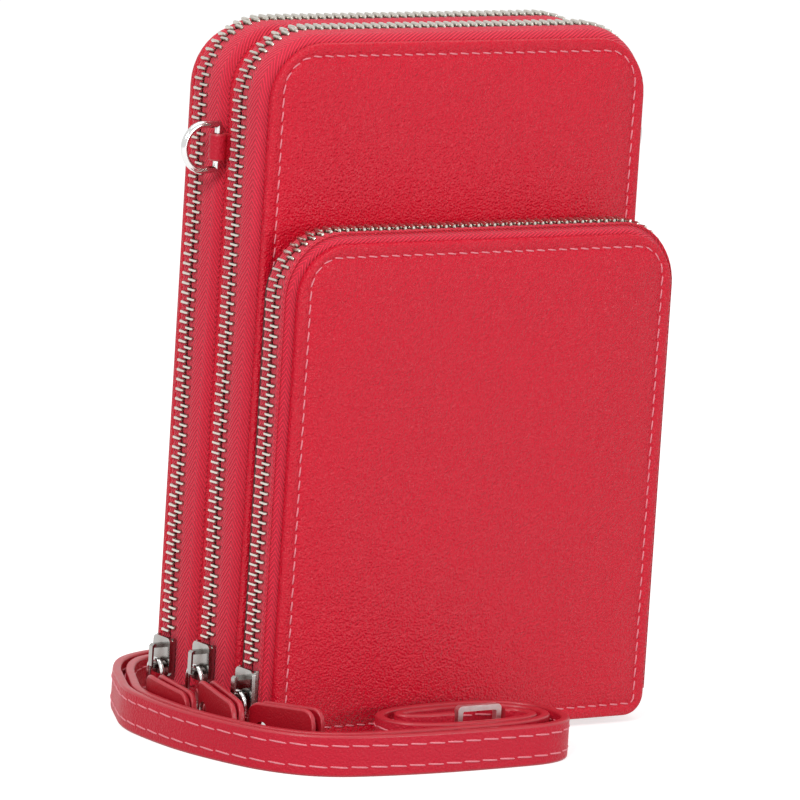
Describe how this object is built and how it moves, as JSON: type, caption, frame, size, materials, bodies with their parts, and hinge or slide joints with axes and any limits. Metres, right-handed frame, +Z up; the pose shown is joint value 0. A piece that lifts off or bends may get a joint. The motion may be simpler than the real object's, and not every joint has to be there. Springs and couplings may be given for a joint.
{
  "type": "phone pouch with a detached strap",
  "caption": "Upright phone pouch with zip-round compartments, a lower front pocket, folded pull tabs, side D-rings and a loose strap with swivel hooks.",
  "frame": {"origin": "middle of the pouch's foot, on the flat underside of the front compartment's base strip", "axes": "+Z up the pouch, -Y towards its front pocket, +X to the right as seen from the front"},
  "size_m": [0.1568, 0.1166, 0.1835],
  "materials": {
    "panel_leather": "satin",
    "strap_leather": "satin",
    "raw_edge": "matte",
    "zip_tape": "matte",
    "zip_metal": "polished",
    "bright_metal": "polished"
  },
  "bodies": {
    "pouch_front": {"front_panel": "panel_leather", "pocket_backing": "raw_edge", "front_base": "panel_leather", "pocket_base": "panel_leather", "front_tape_front": "zip_tape", "front_teeth_front": "zip_metal", "front_end_stop": "zip_metal", "pocket_tape_back": "zip_tape", "pocket_teeth_back": "zip_metal", "long_strap": "strap_leather", "short_strap": "strap_leather", "strap_buckle": "bright_metal", "long_hook_eye": "bright_metal", "short_hook_eye": "bright_metal"},
    "rear_half": {"divider_panel": "panel_leather", "rear_base": "panel_leather", "front_tape_back": "zip_tape", "front_teeth_back": "zip_metal", "rear_tape_front": "zip_tape", "rear_teeth_front": "zip_metal", "rear_end_stop": "zip_metal", "left_ring_loop": "strap_leather", "right_ring_loop": "strap_leather"},
    "back_flap": {"back_panel": "panel_leather", "rear_tape_back": "zip_tape", "rear_teeth_back": "zip_metal"},
    "pocket_flap": {"pocket_panel": "panel_leather", "pocket_tape_front": "zip_tape", "pocket_teeth_front": "zip_metal", "pocket_end_stop": "zip_metal"},
    "rear_runner": {"rear_slider": "zip_metal"},
    "front_runner": {"front_slider": "zip_metal"},
    "pocket_runner": {"pocket_slider": "zip_metal"},
    "rear_pull": {"rear_pull_link": "zip_metal", "rear_pull_tab": "strap_leather", "rear_pull_rivet": "bright_metal"},
    "front_pull": {"front_pull_link": "zip_metal", "front_pull_tab": "strap_leather", "front_pull_rivet": "bright_metal"},
    "pocket_pull": {"pocket_pull_link": "zip_metal", "pocket_pull_tab": "strap_leather", "pocket_pull_rivet": "bright_metal"},
    "left_ring": {"left_d_ring": "bright_metal"},
    "right_ring": {"right_d_ring": "bright_metal"},
    "long_swivel": {"long_hook": "bright_metal"},
    "short_swivel": {"short_hook": "bright_metal"},
    "long_gate": {"long_hook_gate": "bright_metal"},
    "short_gate": {"short_hook_gate": "bright_metal"}
  },
  "joints": [
    {"name": "rear_half_open", "type": "hinge", "parent": "pouch_front", "child": "rear_half", "pos_m": [0, 0.00765, 0.001], "axis": [-1, 0, 0], "range_deg": [0, 12]},
    {"name": "back_flap_open", "type": "hinge", "parent": "rear_half", "child": "back_flap", "pos_m": [0, 0.02755, 0.001], "axis": [-1, 0, 0], "range_deg": [0, 15]},
    {"name": "pocket_flap_open", "type": "hinge", "parent": "pouch_front", "child": "pocket_flap", "pos_m": [0, -0.02755, 0.003], "axis": [1, 0, 0], "range_deg": [0, 15]},
    {"name": "rear_zip_slide", "type": "slide", "parent": "rear_half", "child": "rear_runner", "axis": [0, 0, 1], "range_m": [0, 0.1], "deforming": ["rear_teeth_back", "rear_teeth_front"]},
    {"name": "front_zip_slide", "type": "slide", "parent": "pouch_front", "child": "front_runner", "axis": [0, 0, 1], "range_m": [0, 0.1], "deforming": ["front_teeth_back", "front_teeth_front"]},
    {"name": "pocket_zip_slide", "type": "slide", "parent": "pocket_flap", "child": "pocket_runner", "axis": [0, 0, 1], "range_m": [0, 0.092], "deforming": ["pocket_teeth_back", "pocket_teeth_front"]},
    {"name": "rear_pull_swing", "type": "hinge", "parent": "rear_runner", "child": "rear_pull", "pos_m": [-0.0647, 0.01865, 0.0118], "axis": [-1, 0, 0], "range_deg": [0, 40]},
    {"name": "front_pull_swing", "type": "hinge", "parent": "front_runner", "child": "front_pull", "pos_m": [-0.0647, 0, 0.0138], "axis": [-1, 0, 0], "range_deg": [0, 40]},
    {"name": "pocket_pull_swing", "type": "hinge", "parent": "pocket_runner", "child": "pocket_pull", "pos_m": [-0.0647, -0.02065, 0.0113], "axis": [-1, 0, 0], "range_deg": [0, 40]},
    {"name": "left_ring_swing", "type": "hinge", "parent": "rear_half", "child": "left_ring", "pos_m": [-0.06175, 0.00865, 0.151], "axis": [0, 0, 1], "range_deg": [-55, 55]},
    {"name": "right_ring_swing", "type": "hinge", "parent": "rear_half", "child": "right_ring", "pos_m": [0.06175, 0.00865, 0.151], "axis": [0, 0, 1], "range_deg": [-55, 55]},
    {"name": "long_hook_swivel", "type": "hinge", "parent": "pouch_front", "child": "long_swivel", "pos_m": [0.02825, 0.0495, 0.0061], "axis": [1, 0, 0], "range_deg": [-90, 90]},
    {"name": "short_hook_swivel", "type": "hinge", "parent": "pouch_front", "child": "short_swivel", "pos_m": [0.01125, 0.041, 0.0061], "axis": [1, 0, 0], "range_deg": [-90, 90]},
    {"name": "long_gate_open", "type": "hinge", "parent": "long_swivel", "child": "long_gate", "pos_m": [0.0366, 0.0495, 0.0084], "axis": [0, 1, 0], "range_deg": [0, 25], "stiffness_Nm_per_rad": 0.002},
    {"name": "short_gate_open", "type": "hinge", "parent": "short_swivel", "child": "short_gate", "pos_m": [0.0196, 0.041, 0.0084], "axis": [0, 1, 0], "range_deg": [0, 25], "stiffness_Nm_per_rad": 0.002}
  ]
}
